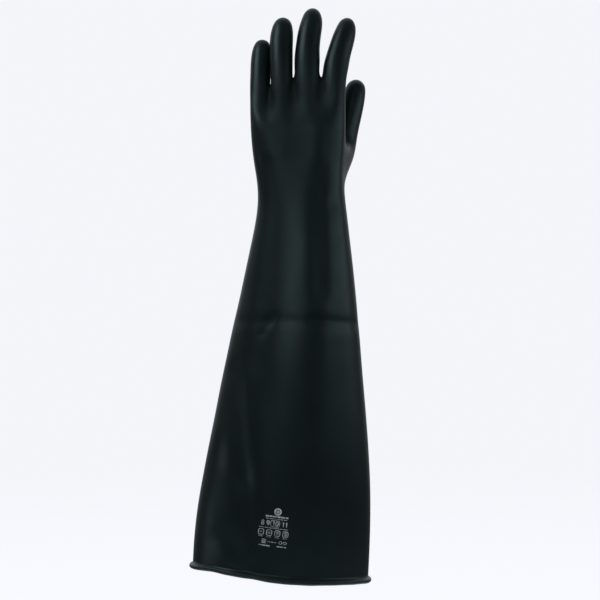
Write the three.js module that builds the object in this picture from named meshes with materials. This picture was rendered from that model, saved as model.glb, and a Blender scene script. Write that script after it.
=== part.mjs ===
// Chemical-resistant rubber gauntlet for the left hand, as a hollow one-piece dipped shell.
//
// X runs across the hand towards the thumb, Y from the back of the hand to the palm, and Z
// from the cuff up to the fingertips. The origin is the centre of the mouth that the arm goes
// into. The outside is a coarse cage of four-sided faces, smoothed by one round of
// Catmull-Clark subdivision. The inside is the same surface set back by the rubber's
// thickness, and the two walls meet in the bead that is rolled round the cuff.
import * as THREE from 'three';

// Driving dimensions, in millimetres.
const rubberThickness = 1.5;
const beadRadius = 2.5;
const beadOffset = 1.0;           // how far the bead's middle stands outside the sleeve
const rimSlope = -0.085;          // fall of the cuff's edge towards the thumb side
const rimSlopeEnds = 150;         // height where the sleeve's rings are level again

// Where the cuff's front edge is drawn up, and how far to each side of there.
const rimLifts = [
  { x: -72, reach: 20, height: 4.6 },
  { x: -42, reach: 24, height: 2.4 },
  { x: 84, reach: 34, height: 2.6 },
];

// A cage ring is larger than the smooth surface that it makes, by these factors.
const sleeveCageFactor = 1.01;
const fingerCageFactor = 1.108;

// Cross-sections from the cuff to the knuckles. left and right are the edges seen from the
// back of the hand, front and back the depths of the back-of-hand and palm sides. boxiness is
// the exponent of the rounded outline, 2 for an ellipse. gather says how far the columns have
// moved from even spacing, 0, to their places under the fingers, 1.
const sections = [
  { at: 'cuff', z: 3, left: -91.5, right: 94.5, front: -54, back: 58, boxiness: 2.0, gather: 0 },
  { at: 'low sleeve', z: 34, left: -90, right: 96, front: -54.5, back: 58, boxiness: 2.0, gather: 0 },
  { at: 'flare', z: 77, left: -84.8, right: 97.3, front: -54.5, back: 57, boxiness: 2.0, gather: 0 },
  { at: 'forearm', z: 130, left: -75.3, right: 95.2, front: -53, back: 54.5, boxiness: 2.0, gather: 0 },
  { at: 'mid forearm', z: 183, left: -65.2, right: 90.8, front: -49.5, back: 50.5, boxiness: 2.0, gather: 0 },
  { at: 'below crease', z: 225, left: -56.6, right: 87.2, front: -47, back: 46.5, boxiness: 2.0, gather: 0 },
  { at: 'lip', z: 252, left: -50.8, right: 85.4, front: -44.2, back: 43.6, boxiness: 2.0, gather: 0.05 },
  { at: 'crease', z: 267, left: -47.4, right: 83.6, front: -42.2, back: 42.0, boxiness: 2.05, gather: 0.1 },
  { at: 'above crease', z: 282, left: -43.9, right: 82.7, front: -40.8, back: 40.4, boxiness: 2.05, gather: 0.15 },
  { at: 'thin forearm', z: 312, left: -37.2, right: 80, front: -37, back: 37, boxiness: 2.1, gather: 0.3 },
  { at: 'near wrist', z: 350, left: -28.9, right: 75.8, front: -32, back: 32.5, boxiness: 2.25, gather: 0.45 },
  { at: 'wrist', z: 384, left: -22.6, right: 72.2, front: -27, back: 29.5, boxiness: 2.45, gather: 0.6 },
  { at: 'heel of hand', z: 410, left: -22, right: 68.8, front: -23.5, back: 26.5, boxiness: 2.6, gather: 0.75 },
  { at: 'low palm', z: 432, left: -25.9, right: 68.4, front: -21.5, back: 24, boxiness: 2.6, gather: 0.85 },
  { at: 'mid palm', z: 455, left: -29, right: 69.8, front: -20, back: 21, boxiness: 2.5, gather: 0.95 },
  { at: 'high palm', z: 478, left: -30.3, right: 70.2, front: -18.5, back: 18.5, boxiness: 2.6, gather: 1 },
];

// Where each finger leaves the hand. x and y are its middle, width and depth half its sizes.
// knuckle, web and palm are the heights of its root on the back, between the fingers and on
// the palm.
const fingerRoots = [
  { finger: 'little', x: -19.7, y: 4.5, width: 10.7, depth: 12.5, knuckle: 489, web: 522, palm: 512 },
  { finger: 'ring', x: 2.6, y: 0, width: 11.2, depth: 14.5, knuckle: 497, web: 537, palm: 522 },
  { finger: 'middle', x: 29.8, y: -1, width: 13.6, depth: 15.5, knuckle: 500, web: 535, palm: 526 },
  { finger: 'index', x: 57.3, y: 0.5, width: 12.4, depth: 14.5, knuckle: 495, web: 527, palm: 520 },
];

// Rings up each finger, as its middle and half its width and depth. The last row is the tip.
const fingerRings = {
  little: [
    { x: -19.4, y: 8, z: 525, width: 10.8, depth: 11 },
    { x: -19.2, y: 9.5, z: 536, width: 10.8, depth: 10.8 },
    { x: -18.8, y: 11, z: 548, width: 10.6, depth: 10.3 },
    { x: -18.1, y: 12.2, z: 558.5, width: 9, depth: 8.6 },
    { x: -17.4, y: 13, z: 565.5, width: 5.4, depth: 5.2 },
    { x: -17.2, y: 13.4, z: 569 },
  ],
  ring: [
    { x: 2.2, y: 1, z: 542, width: 12.2, depth: 12.2 },
    { x: 2.1, y: 3, z: 554, width: 12, depth: 11.7 },
    { x: 2.4, y: 6, z: 567, width: 11.8, depth: 11.2 },
    { x: 3.4, y: 8.5, z: 579, width: 10.1, depth: 9.3 },
    { x: 4.1, y: 10, z: 587.5, width: 6, depth: 5.6 },
    { x: 4.2, y: 10.5, z: 592.6 },
  ],
  middle: [
    { x: 30, y: 0, z: 543, width: 13.2, depth: 12.8 },
    { x: 30.2, y: 2, z: 557, width: 12.1, depth: 12.2 },
    { x: 31.9, y: 5, z: 574, width: 12.3, depth: 11.6 },
    { x: 34.9, y: 8, z: 587.5, width: 10.8, depth: 9.8 },
    { x: 35.2, y: 10, z: 597, width: 6.4, depth: 5.8 },
    { x: 34, y: 10.5, z: 603 },
  ],
  index: [
    { x: 59.8, y: 1.5, z: 536, width: 12.8, depth: 12.4 },
    { x: 63.2, y: 3.5, z: 551, width: 12, depth: 11.8 },
    { x: 67.8, y: 6.5, z: 567, width: 11.8, depth: 11.2 },
    { x: 71.5, y: 9, z: 580, width: 9.5, depth: 9.2 },
    { x: 72.9, y: 10.5, z: 587.5, width: 5.4, depth: 5.2 },
    { x: 73.1, y: 11, z: 592.2 },
  ],
};

// Rings up the thumb, from its root on the palm side to its tip. pitch tips a ring over
// towards the palm and lean towards the thumb side, in degrees.
const thumbRings = [
  { x: 65, y: 34, z: 446, width: 14.5, depth: 16, pitch: 48, lean: 8 },
  { x: 70, y: 40, z: 468, width: 12.8, depth: 13, pitch: 22, lean: 12 },
  { x: 76, y: 43.5, z: 490, width: 11.7, depth: 11.8, pitch: 8, lean: 13 },
  { x: 81.2, y: 46.5, z: 511, width: 11.4, depth: 10.8, pitch: 6, lean: 12 },
  { x: 84.4, y: 48.2, z: 525.5, width: 8.6, depth: 8, pitch: 6, lean: 8 },
  { x: 85.2, y: 48.8, z: 533.5 },
];
const thumbRootSection = 12;      // the lowest of the three sections that the thumb grows from

// Folds and hollows, as lines on the front (-1) or back (1) of the glove, from one point of
// x and z to another. depth is outwards where it is positive, and reach half the fold's width.
const folds = [
  { fold: 'crease left', fromX: -56, fromZ: 266, toX: -14, toZ: 267, face: -1, depth: -1.5, reach: 6 },
  { fold: 'crease middle', fromX: -14, fromZ: 267, toX: 38, toZ: 267, face: -1, depth: -0.7, reach: 5 },
  { fold: 'crease right', fromX: 38, fromZ: 268, toX: 88, toZ: 263, face: -1, depth: -1.8, reach: 5 },
  { fold: 'lip left', fromX: -52, fromZ: 254, toX: -20, toZ: 254, face: -1, depth: 0.9, reach: 7 },
  { fold: 'lip right', fromX: 45, fromZ: 253, toX: 86, toZ: 250, face: -1, depth: 1.0, reach: 7 },
  { fold: 'crease behind', fromX: -40, fromZ: 268, toX: 76, toZ: 264, face: 1, depth: -1.4, reach: 7 },
  { fold: 'upper furrow', fromX: -47, fromZ: 212, toX: -36, toZ: 105, face: -1, depth: -2.0, reach: 12 },
  { fold: 'lower furrow', fromX: -36, fromZ: 105, toX: -28, toZ: 12, face: -1, depth: -1.8, reach: 12 },
  { fold: 'flat by furrow', fromX: -58, fromZ: 110, toX: -50, toZ: 0, face: -1, depth: -3.0, reach: 24 },
  { fold: 'ridge by furrow', fromX: -30, fromZ: 205, toX: -12, toZ: 60, face: -1, depth: 1.4, reach: 14 },
  { fold: 'wrist fold', fromX: 69, fromZ: 400, toX: 59, toZ: 388, face: -1, depth: -2.2, reach: 6 },
  { fold: 'long wrist fold', fromX: 59, fromZ: 388, toX: 65, toZ: 360, face: -1, depth: -1.8, reach: 7 },
  { fold: 'ring-middle hollow', fromX: 15, fromZ: 500, toX: 17, toZ: 440, face: -1, depth: -1.6, reach: 6 },
  { fold: 'middle-index hollow', fromX: 47, fromZ: 500, toX: 41, toZ: 405, face: -1, depth: -2.0, reach: 7 },
  { fold: 'little-ring hollow', fromX: -10, fromZ: 500, toX: -7, toZ: 455, face: -1, depth: -1.4, reach: 6 },
  { fold: 'forearm hollow', fromX: 43, fromZ: 400, toX: 47, toZ: 300, face: -1, depth: -1.5, reach: 10 },
  { fold: 'palm hollow', fromX: 16, fromZ: 478, toX: 26, toZ: 425, face: 1, depth: -2.4, reach: 14 },
  { fold: 'wrist crease behind', fromX: -18, fromZ: 394, toX: 66, toZ: 390, face: 1, depth: -1.6, reach: 7 },
];

// Columns of the cage round the glove: one down each side, and three for each finger on the
// back and three on the palm.
const columnsPerFinger = 3;
const columnsPerFace = columnsPerFinger * fingerRoots.length;
const leftColumn = 0;
const rightColumn = columnsPerFace + 1;
const columnCount = 2 * columnsPerFace + 2;
const fingerSides = 8;

const degrees = Math.PI / 180;
const mix = (a, b, share) => a + (b - a) * share;
const middle = (a, b) => (a + b) / 2;
const clamp01 = (value) => Math.min(1, Math.max(0, value));
const smoothStep = (value) => clamp01(value) ** 2 * (3 - 2 * clamp01(value));

// The cage: its points, and its faces as the numbers of their four corners, seen anticlockwise
// from outside.
const cage = { points: [], faces: [] };

function addRing(points) {
  return points.map((point) => cage.points.push(point) - 1);
}

function bridge(lowerRing, upperRing, skipsColumn = () => false) {
  lowerRing.forEach((lower, column) => {
    const next = (column + 1) % lowerRing.length;
    if (!skipsColumn(column)) {
      cage.faces.push([lower, lowerRing[next], upperRing[next], upperRing[column]]);
    }
  });
}

function closeTip(ring, tipPoint) {
  const [tip] = addRing([tipPoint]);
  for (let side = 0; side < fingerSides; side += 2) {
    cage.faces.push([tip, ring[side], ring[side + 1], ring[(side + 2) % fingerSides]]);
  }
}

// The side of the finger's root at one of its eight angles, counted from its left side round
// by the back of the hand.
function rootPoint(root, side) {
  const angle = Math.PI + (side * 2 * Math.PI) / fingerSides;
  const { knuckle, web, palm } = root;
  const height = [web, knuckle, knuckle, knuckle, web, palm, palm, palm];
  return new THREE.Vector3(
    root.x + root.width * Math.cos(angle),
    root.y + root.depth * Math.sin(angle),
    height[side],
  );
}

// The column round the glove of a finger's root point, or undefined inside a web.
function rootColumn(fingerIndex, side) {
  const isFirst = fingerIndex === 0;
  const isLast = fingerIndex === fingerRoots.length - 1;
  if (side === 0) return isFirst ? leftColumn : undefined;
  if (side === 4) return isLast ? rightColumn : undefined;
  if (side < 4) return columnsPerFinger * fingerIndex + side;
  return rightColumn + columnsPerFinger * (fingerRoots.length - 1 - fingerIndex) + (side - 4);
}

// The row where the fingers start: one ring round the hand, and the inner sides of the roots.
const rootRingPoints = [];
fingerRoots.forEach((root, fingerIndex) => {
  for (let side = 0; side < fingerSides; side += 1) {
    const column = rootColumn(fingerIndex, side);
    if (column !== undefined) rootRingPoints[column] = rootPoint(root, side);
  }
});

// How far each column lies across the hand, from -1 at the left edge to 1 at the right.
const rootLeft = rootRingPoints[leftColumn].x;
const rootRight = rootRingPoints[rightColumn].x;
const rootMiddle = middle(rootLeft, rootRight);
const rootHalfWidth = (rootRight - rootLeft) / 2;
const gatheredShare = rootRingPoints.map((point) => (point.x - rootMiddle) / rootHalfWidth);

// How far the cuff's front edge is drawn up at x.
function frontLift(x) {
  const lifts = rimLifts.map((row) => row.height * Math.exp(-(((x - row.x) / row.reach) ** 2)));
  return lifts.reduce((sum, lift) => sum + lift, 0);
}

function sectionRing(section) {
  const points = [];
  const across = middle(section.left, section.right);
  const deep = middle(section.front, section.back);
  const halfWidth = ((section.right - section.left) / 2) * sleeveCageFactor;
  const halfDepth = ((section.back - section.front) / 2) * sleeveCageFactor;
  const rimShare = 1 - smoothStep(section.z / rimSlopeEnds);
  for (let column = 0; column < columnCount; column += 1) {
    const evenShare = -Math.cos((column * 2 * Math.PI) / columnCount);
    const share = mix(evenShare, gatheredShare[column], section.gather);
    const rise = (1 - Math.min(1, Math.abs(share)) ** section.boxiness) ** (1 / section.boxiness);
    const face = column < rightColumn ? -1 : 1;
    const x = across + halfWidth * share;
    const z = section.z + rimShare * (rimSlope * x + (face < 0 ? frontLift(x) * rise : 0));
    points.push(new THREE.Vector3(x, deep + face * halfDepth * rise, z));
  }
  return points;
}

const rowRings = sections.map((section) => addRing(sectionRing(section)));
const rootRing = addRing(rootRingPoints);
rowRings.push(rootRing);

// The sleeve and hand, but for the four faces that the thumb grows from.
const thumbColumns = [rightColumn, rightColumn + 1];
for (let row = 0; row < rowRings.length - 1; row += 1) {
  const isThumbRow = row === thumbRootSection || row === thumbRootSection + 1;
  bridge(rowRings[row], rowRings[row + 1], (column) => isThumbRow && thumbColumns.includes(column));
}

// One ring of a finger or the thumb, square to the way that it points. The first of its
// corners is at startAngle, and the rest follow anticlockwise seen from the tip.
function tubeRing(ring, pitch, lean, startAngle) {
  const sideways = new THREE.Vector3(Math.cos(lean), 0, -Math.sin(lean));
  const deepways = new THREE.Vector3(0, Math.cos(pitch), -Math.sin(pitch));
  const points = [];
  for (let side = 0; side < fingerSides; side += 1) {
    const angle = startAngle + (side * 2 * Math.PI) / fingerSides;
    points.push(new THREE.Vector3(ring.x, ring.y, ring.z)
      .addScaledVector(sideways, ring.width * fingerCageFactor * Math.cos(angle))
      .addScaledVector(deepways, ring.depth * fingerCageFactor * Math.sin(angle)));
  }
  return points;
}

// The fingers, each from its root ring up to a rounded tip.
const rootRings = fingerRoots.map((root, fingerIndex) => {
  const ring = [];
  for (let side = 0; side < fingerSides; side += 1) {
    const column = rootColumn(fingerIndex, side);
    ring.push(column === undefined ? addRing([rootPoint(root, side)])[0] : rootRing[column]);
  }
  return ring;
});
fingerRoots.forEach(({ finger }, fingerIndex) => {
  const rows = fingerRings[finger];
  const tip = rows[rows.length - 1];
  let below = rootRings[fingerIndex];
  for (let row = 0; row < rows.length - 1; row += 1) {
    const last = rows[Math.max(0, row - 1)];
    const next = rows[row + 1];
    const pitch = Math.atan2(next.y - last.y, next.z - last.z);
    const lean = Math.atan2(next.x - last.x, next.z - last.z);
    const ring = addRing(tubeRing(rows[row], pitch, lean, Math.PI));
    bridge(below, ring);
    below = ring;
  }
  closeTip(below, new THREE.Vector3(tip.x, tip.y, tip.z));
});

// The web between each finger and the next, in a half towards the back and one on the palm.
for (let fingerIndex = 0; fingerIndex < fingerRoots.length - 1; fingerIndex += 1) {
  const left = rootRings[fingerIndex];
  const right = rootRings[fingerIndex + 1];
  cage.faces.push([left[3], right[1], right[0], left[4]]);
  cage.faces.push([left[4], right[0], right[7], left[5]]);
}

// The thumb, from the edge of its opening in the palm up to its tip.
const [thumbLow, thumbMiddle, thumbHigh] = [0, 1, 2].map((step) => rowRings[thumbRootSection + step]);
const [thumbRight, thumbCentre, thumbLeft] = [rightColumn, rightColumn + 1, rightColumn + 2];
let thumbBelow = [
  thumbLow[thumbRight], thumbLow[thumbCentre], thumbLow[thumbLeft], thumbMiddle[thumbLeft],
  thumbHigh[thumbLeft], thumbHigh[thumbCentre], thumbHigh[thumbRight], thumbMiddle[thumbRight],
];
thumbRings.slice(0, -1).forEach((row) => {
  const ring = addRing(tubeRing(row, row.pitch * degrees, row.lean * degrees, 45 * degrees));
  bridge(thumbBelow, ring);
  thumbBelow = ring;
});
const thumbTip = thumbRings[thumbRings.length - 1];
closeTip(thumbBelow, new THREE.Vector3(thumbTip.x, thumbTip.y, thumbTip.z));

// Which faces and which edge neighbours each point of a mesh of four-sided faces has. An edge
// with one face is on the open edge of the cuff.
function surroundings(mesh) {
  const edges = new Map();
  const around = mesh.points.map(() => ({ faces: [], neighbours: new Set(), rim: [] }));
  mesh.faces.forEach((face, faceIndex) => {
    face.forEach((corner, place) => {
      const next = face[(place + 1) % face.length];
      const key = `${Math.min(corner, next)} ${Math.max(corner, next)}`;
      if (!edges.has(key)) edges.set(key, { ends: [corner, next], faces: [] });
      edges.get(key).faces.push(faceIndex);
      around[corner].faces.push(faceIndex);
      around[corner].neighbours.add(next);
      around[next].neighbours.add(corner);
    });
  });
  for (const edge of edges.values()) {
    if (edge.faces.length === 1) {
      around[edge.ends[0]].rim.push(edge.ends[1]);
      around[edge.ends[1]].rim.push(edge.ends[0]);
    }
  }
  return { edges, around };
}

function average(points) {
  return points.reduce((sum, point) => sum.add(point), new THREE.Vector3()).divideScalar(points.length);
}

// One round of Catmull-Clark subdivision.
function subdivide(mesh) {
  const { edges, around } = surroundings(mesh);
  const facePoints = mesh.faces.map((face) => average(face.map((corner) => mesh.points[corner])));
  const edgeMiddle = (a, b) => average([mesh.points[a], mesh.points[b]]);
  const cornerPoints = mesh.points.map((point, index) => {
    const { faces, neighbours, rim } = around[index];
    if (rim.length === 2) {
      return point.clone().multiplyScalar(0.75).addScaledVector(edgeMiddle(rim[0], rim[1]), 0.25);
    }
    const valence = neighbours.size;
    const faceAverage = average(faces.map((face) => facePoints[face]));
    const edgeAverage = average([...neighbours].map((neighbour) => edgeMiddle(index, neighbour)));
    return point.clone().multiplyScalar(valence - 3).add(faceAverage)
      .addScaledVector(edgeAverage, 2).divideScalar(valence);
  });
  const points = [...cornerPoints, ...facePoints];
  const edgeIndex = new Map();
  for (const [key, edge] of edges) {
    const [a, b] = edge.ends;
    const isRim = edge.faces.length === 1;
    const parts = isRim ? [] : edge.faces.map((face) => facePoints[face]);
    const point = average([mesh.points[a], mesh.points[b], ...parts]);
    edgeIndex.set(key, points.push(point) - 1);
  }
  const faces = [];
  mesh.faces.forEach((face, faceIndex) => {
    const edgeAt = (place) => {
      const [a, b] = [face[place % 4], face[(place + 1) % 4]];
      return edgeIndex.get(`${Math.min(a, b)} ${Math.max(a, b)}`);
    };
    face.forEach((corner, place) => {
      faces.push([corner, edgeAt(place), mesh.points.length + faceIndex, edgeAt(place + 3)]);
    });
  });
  return { points, faces };
}

// Each point moved to where endless further subdivision would bring it.
function limitPoints(mesh) {
  const { around } = surroundings(mesh);
  return mesh.points.map((point, index) => {
    const { faces, neighbours, rim } = around[index];
    if (rim.length === 2) {
      const ends = mesh.points[rim[0]].clone().add(mesh.points[rim[1]]);
      return point.clone().multiplyScalar(4).add(ends).divideScalar(6);
    }
    const valence = neighbours.size;
    const sum = point.clone().multiplyScalar(valence * valence);
    neighbours.forEach((neighbour) => sum.addScaledVector(mesh.points[neighbour], 4));
    faces.forEach((face) => {
      const corners = mesh.faces[face];
      sum.add(mesh.points[corners[(corners.indexOf(index) + 2) % 4]]);
    });
    return sum.divideScalar(valence * (valence + 5));
  });
}

// The outward direction at each point, from the faces round it.
function outwardNormals(mesh) {
  const normals = mesh.points.map(() => new THREE.Vector3());
  mesh.faces.forEach((face) => {
    const [a, b, c, d] = face.map((corner) => mesh.points[corner]);
    const normal = new THREE.Vector3().subVectors(c, a).cross(new THREE.Vector3().subVectors(d, b));
    face.forEach((corner) => normals[corner].add(normal));
  });
  return normals.map((normal) => normal.normalize());
}

// How far the folds move a point of the surface outwards.
function foldHeight(point, normal) {
  let height = 0;
  folds.forEach((row) => {
    const along = new THREE.Vector2(row.toX - row.fromX, row.toZ - row.fromZ);
    const offset = new THREE.Vector2(point.x - row.fromX, point.z - row.fromZ);
    const share = clamp01(offset.dot(along) / along.lengthSq());
    const distance = offset.addScaledVector(along, -share).length() / row.reach;
    const faces = smoothStep(normal.y * row.face * 2);
    height += row.depth * faces * Math.exp(-distance * distance);
  });
  return height;
}

// A mesh without the points that no face uses, such as the one inside the thumb's opening.
function usedPoints(mesh) {
  const numbers = new Map();
  mesh.faces.flat().forEach((corner) => {
    if (!numbers.has(corner)) numbers.set(corner, numbers.size);
  });
  return {
    points: [...numbers.keys()].map((corner) => mesh.points[corner]),
    faces: mesh.faces.map((face) => face.map((corner) => numbers.get(corner))),
  };
}

const outside = subdivide(usedPoints(cage));
outside.points = limitPoints(outside);
const smoothNormals = outwardNormals(outside);
outside.points.forEach((point, index) => {
  point.addScaledVector(smoothNormals[index], foldHeight(point, smoothNormals[index]));
});
const outsideNormals = outwardNormals(outside);
const insidePoints = outside.points.map((point, index) => (
  point.clone().addScaledVector(outsideNormals[index], -rubberThickness)
));

// The open edge of the cuff as a closed list of point numbers, anticlockwise from above.
function rimLoop(mesh) {
  const { around } = surroundings(mesh);
  const start = mesh.points.findIndex((point, index) => around[index].rim.length === 2);
  const loop = [start];
  let next = around[start].rim.find((end) => mesh.faces.some((face) => (
    face.includes(start) && face[(face.indexOf(start) + 1) % 4] === end)));
  while (next !== start) {
    const last = loop[loop.length - 1];
    loop.push(next);
    next = around[next].rim.find((end) => end !== last);
  }
  return loop;
}

// The angles round the bead's section where it has a corner, in degrees from straight
// outwards, positive upwards, from the notch under the sleeve round to its inner wall.
const beadAngles = [68, 25, -20, -65, -112, -160];

// Both walls and the bead between them, as one closed mesh.
function closedShell() {
  const points = [...outside.points, ...insidePoints];
  const faces = [...outside.faces];
  const insideStart = outside.points.length;
  outside.faces.forEach((face) => faces.push([...face].reverse().map((corner) => corner + insideStart)));
  const loop = rimLoop(outside);
  const down = new THREE.Vector3(rimSlope, 0, -1).normalize();
  const beadRings = beadAngles.map((angle) => loop.map((index) => {
    const outwards = outsideNormals[index].clone().setZ(0).normalize();
    const reach = beadOffset + beadRadius * Math.cos(angle * degrees);
    const drop = beadRadius * (1 - Math.sin(angle * degrees));
    return points.push(outside.points[index].clone().addScaledVector(outwards, reach)
      .addScaledVector(down, drop)) - 1;
  }));
  const rings = [loop, ...beadRings, loop.map((index) => index + insideStart)];
  for (let ring = 0; ring < rings.length - 1; ring += 1) {
    loop.forEach((_, place) => {
      const next = (place + 1) % loop.length;
      faces.push([rings[ring][next], rings[ring][place], rings[ring + 1][place], rings[ring + 1][next]]);
    });
  }
  return { points, faces };
}

function toGeometry(mesh) {
  const coordinates = mesh.points.flatMap((point) => point.toArray());
  const geometry = new THREE.BufferGeometry();
  geometry.setAttribute('position', new THREE.Float32BufferAttribute(coordinates, 3));
  geometry.setIndex(mesh.faces.flatMap(([a, b, c, d]) => [a, b, c, a, c, d]));
  geometry.computeVertexNormals();
  return geometry;
}

const blackRubber = new THREE.MeshStandardMaterial({ color: 0x1c2426, roughness: 0.42, metalness: 0 });

const glove = new THREE.Group();
const shell = new THREE.Mesh(toGeometry(closedShell()), blackRubber);
shell.name = 'glove_shell';
glove.add(shell);

export default glove;
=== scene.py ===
# %% [markdown]
# A long chemical-resistant gauntlet is one skin of black natural rubber. It is dipped on a
# hand-shaped former, and its edge is rolled into a bead while the rubber is still soft.
# This lesson builds its looks round a model that already has the right size. We could trust
# our eye for the size, but a frame that is loaded first keeps every later step honest.

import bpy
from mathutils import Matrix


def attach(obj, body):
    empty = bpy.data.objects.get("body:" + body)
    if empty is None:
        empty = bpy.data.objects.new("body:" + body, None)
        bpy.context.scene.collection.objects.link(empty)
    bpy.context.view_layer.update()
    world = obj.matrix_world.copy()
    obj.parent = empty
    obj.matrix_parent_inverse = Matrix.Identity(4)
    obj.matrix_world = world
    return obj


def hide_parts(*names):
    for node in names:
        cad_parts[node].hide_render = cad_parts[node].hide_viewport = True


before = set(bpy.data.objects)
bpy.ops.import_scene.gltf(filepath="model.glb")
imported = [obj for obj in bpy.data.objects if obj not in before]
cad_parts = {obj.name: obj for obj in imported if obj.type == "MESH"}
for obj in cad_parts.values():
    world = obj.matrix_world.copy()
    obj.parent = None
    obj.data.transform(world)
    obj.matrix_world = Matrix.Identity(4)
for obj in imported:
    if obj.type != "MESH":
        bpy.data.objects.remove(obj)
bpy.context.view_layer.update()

# %% [markdown]
# The later steps share a few tools: Blender itself, arrays for work on many points at once,
# and smooth noise for what is uneven. Blender counts in metres and a glove maker in
# millimetres. Metres would spare a conversion, but the tables below stay readable in
# millimetres, so one value converts them where the points go into Blender.

# %% Load what the steps below use
import math
from collections import namedtuple

import bpy
import numpy as np
from mathutils import Vector, noise
from mathutils.bvhtree import BVHTree

MM = 0.001                       # the tables are in millimetres and Blender works in metres
TURN = 2 * math.pi

# %% [markdown]
# The camera stands where the photograph was taken: straight in front of the back of the
# hand, level with the middle of the gauntlet. It could be placed by eye, but the middle
# fingertip and the cuff give the scale, so its place and its lens are worked out instead.
# The lens follows from how wide the picture is at the gauntlet and how far off it stands.

# %% Place the camera
VIEW_WIDTH = 636.0               # what the square picture takes in at the gauntlet
VIEW_MIDDLE = (22.3, 289.0)      # x and z at the middle of the picture
CAMERA_DISTANCE = 1650.0

camera_data = bpy.data.cameras.new("product_camera")
camera = bpy.data.objects.new("product_camera", camera_data)
bpy.context.scene.collection.objects.link(camera)
camera.location = (VIEW_MIDDLE[0] * MM, -CAMERA_DISTANCE * MM, VIEW_MIDDLE[1] * MM)
camera.rotation_euler = (math.radians(90), 0, 0)
camera_data.lens = camera_data.sensor_width * CAMERA_DISTANCE / VIEW_WIDTH
bpy.context.scene.camera = camera
print("lens", round(camera_data.lens, 1), "mm")

# %% [markdown]
# The sleeve and the hand are one tube whose outline changes on the way up. It is oval round
# the forearm and flatter, with fuller corners, across the palm. Sculpting could give such a
# form, but a table of cross-sections keeps it exact: each row says how wide and deep the
# glove is at one height, and smoothing does the rest.

# %% Describe the sleeve and the hand
Section = namedtuple("Section", "at z left right front back boxiness gather")
SECTIONS = [
    Section("cuff", 3, -91.5, 94.5, -54, 58, 2.0, 0),
    Section("low sleeve", 34, -90, 96, -54.5, 58, 2.0, 0),
    Section("flare", 77, -84.8, 97.3, -54.5, 57, 2.0, 0),
    Section("forearm", 130, -75.3, 95.2, -53, 54.5, 2.0, 0),
    Section("mid forearm", 183, -65.2, 90.8, -49.5, 50.5, 2.0, 0),
    Section("below crease", 225, -56.6, 87.2, -47, 46.5, 2.0, 0),
    Section("lip", 252, -50.8, 85.4, -44.2, 43.6, 2.0, 0.05),
    Section("crease", 267, -47.4, 83.6, -42.2, 42.0, 2.05, 0.1),
    Section("above crease", 282, -43.9, 82.7, -40.8, 40.4, 2.05, 0.15),
    Section("thin forearm", 312, -37.2, 80, -37, 37, 2.1, 0.3),
    Section("near wrist", 350, -28.9, 75.8, -32, 32.5, 2.25, 0.45),
    Section("wrist", 384, -22.6, 72.2, -27, 29.5, 2.45, 0.6),
    Section("heel of hand", 410, -22.6, 68.8, -23.5, 26.5, 2.6, 0.75),
    Section("low palm", 432, -26.8, 68.8, -21.6, 24, 2.6, 0.85),
    Section("mid palm", 455, -29.7, 70.8, -21.4, 21, 2.5, 0.95),
    Section("high palm", 478, -30.9, 71.6, -20.8, 18.5, 2.6, 1),
]
RIM_SLOPE = -0.085               # fall of the cuff's edge towards the thumb side
RIM_SLOPE_ENDS = 150             # height where the rings are level again
SLEEVE_CAGE = 1.01               # a cage ring is larger than the surface that it makes

Lift = namedtuple("Lift", "x reach height")
RIM_LIFTS = [Lift(-72, 20, 4.6), Lift(-42, 24, 2.4), Lift(84, 34, 2.6)]
print(len(SECTIONS), "sections from", SECTIONS[0].z, "to", SECTIONS[-1].z, "mm")

# %% [markdown]
# Four fingers grow from the top edge of the palm and curl a little towards it, as a hand at
# rest does. A finger could be a capsule pushed into the palm, but then the webs between
# the fingers would be sharp. Here each finger starts on corners that the palm's own rings
# share, so the webs come out as smooth saddles.

# %% Describe the fingers
Root = namedtuple("Root", "x y width depth knuckle web palm")
ROOTS = {
    "little": Root(-20.4, 6.5, 11.8, 15, 492, 524, 506),
    "ring": Root(3, 2, 12.4, 17, 501, 527, 514),
    "middle": Root(29.7, 0.5, 13.9, 17, 503, 536, 524),
    "index": Root(58.1, 1.0, 13.5, 16, 499, 528, 518),
}
Ring = namedtuple("Ring", "x y z width depth")
FINGERS = {
    "little": [
        Ring(-19.8, 14.2, 530, 11, 11),
        Ring(-19.4, 17, 539.7, 11.3, 10.8),
        Ring(-18.9, 19.2, 549.5, 11.2, 10.4),
        Ring(-18.2, 20.6, 559.4, 10, 9.2),
        Ring(-17.5, 21.4, 566.6, 6.8, 6.2),
        Ring(-17.2, 21.8, 570.4, 0, 0),
    ],
    "ring": [
        Ring(2.2, 6.6, 542, 12.5, 12.4),
        Ring(2.1, 9, 554.2, 12.4, 11.9),
        Ring(2.5, 12, 567.5, 12.6, 11.6),
        Ring(3.7, 14, 579.9, 11.4, 10.3),
        Ring(4.6, 15, 588.6, 7.8, 7),
        Ring(4.5, 15.4, 593.9, 0, 0),
    ],
    "middle": [
        Ring(29.8, 5.2, 543, 14, 13.2),
        Ring(30.3, 7.7, 557.2, 12.7, 12.4),
        Ring(32.4, 11.2, 574.5, 12.6, 11.8),
        Ring(35.7, 13.6, 588.4, 11.5, 10.5),
        Ring(35.6, 14.9, 598.1, 8, 7),
        Ring(34.6, 15.3, 604.3, 0, 0),
    ],
    "index": [
        Ring(60.2, 7, 536, 13.8, 13),
        Ring(63.6, 9.6, 551.2, 12.4, 12),
        Ring(68.6, 13, 567.5, 12.3, 11.5),
        Ring(72.5, 15, 580.9, 10.5, 9.9),
        Ring(73, 16, 588.6, 6.9, 6.4),
        Ring(73.1, 16.4, 593.5, 0, 0),
    ],
}
FINGER_SIDES = 8
FINGER_CAGE = 1.108              # the cage's factor round the narrow fingers

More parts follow.
